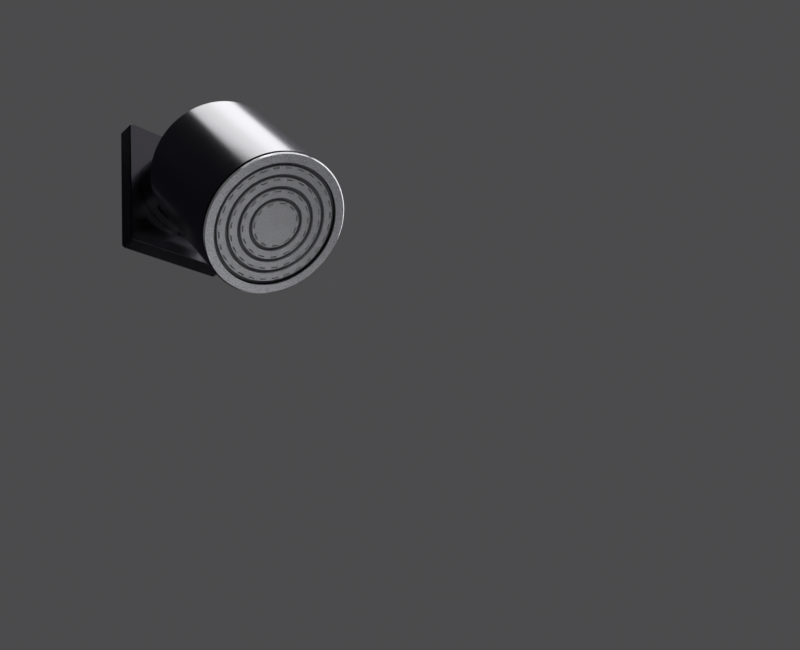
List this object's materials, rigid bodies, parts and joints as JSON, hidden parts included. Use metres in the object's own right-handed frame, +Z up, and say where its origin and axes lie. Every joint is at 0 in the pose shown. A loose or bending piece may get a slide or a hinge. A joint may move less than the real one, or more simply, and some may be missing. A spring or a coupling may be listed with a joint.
{
  "type": "shower head",
  "caption": "Wall-mounted shower head: a cylinder with a grooved spray face that tilts on a swivelling water-carrying arm in front of a rectangular wall plate.",
  "frame": {"origin": "mouth of the inlet thread, at the middle of the plate's back, on the wall's surface", "axes": "+Z up, +Y into the wall along the inlet thread, +X to the right as seen facing the wall"},
  "size_m": [0.08, 0.1297, 0.1345],
  "materials": {
    "satin_metal": "fine satin",
    "plate_metal": "dark satin",
    "spray_metal": "fine blasted satin",
    "connector_brass": "machined",
    "pin_steel": "turned",
    "moulded_plastic": "moulded",
    "seal_rubber": "matt"
  },
  "bodies": {
    "wall_mount": {"wall_plate": "plate_metal", "wall_gasket": "seal_rubber", "inlet_body": "connector_brass", "arm_seal": "seal_rubber", "friction_washer": "moulded_plastic", "collar_nut": "satin_metal"},
    "arm": {"swivel_arm": "satin_metal", "arm_sleeve": "satin_metal"},
    "head": {"hinge_pin": "pin_steel", "pin_plug": "pin_steel", "hinge_seals": "seal_rubber", "rear_cover": "satin_metal", "head_shell": "satin_metal", "feed_tube": "moulded_plastic", "tube_seal": "seal_rubber", "filter_screen": "pin_steel", "flow_regulator": "moulded_plastic", "water_chamber": "moulded_plastic", "chamber_gasket": "seal_rubber", "spray_plate": "spray_metal", "face_ring": "satin_metal"}
  },
  "joints": [
    {"name": "swivel", "type": "hinge", "parent": "wall_mount", "child": "arm", "pos_m": [0, 0, 0], "axis": [0, 1, 0], "range_deg": [-45, 45]},
    {"name": "tilt", "type": "hinge", "parent": "arm", "child": "head", "pos_m": [0, -0.0477, 0], "axis": [1, 0, 0], "range_deg": [-35, 12]}
  ]
}
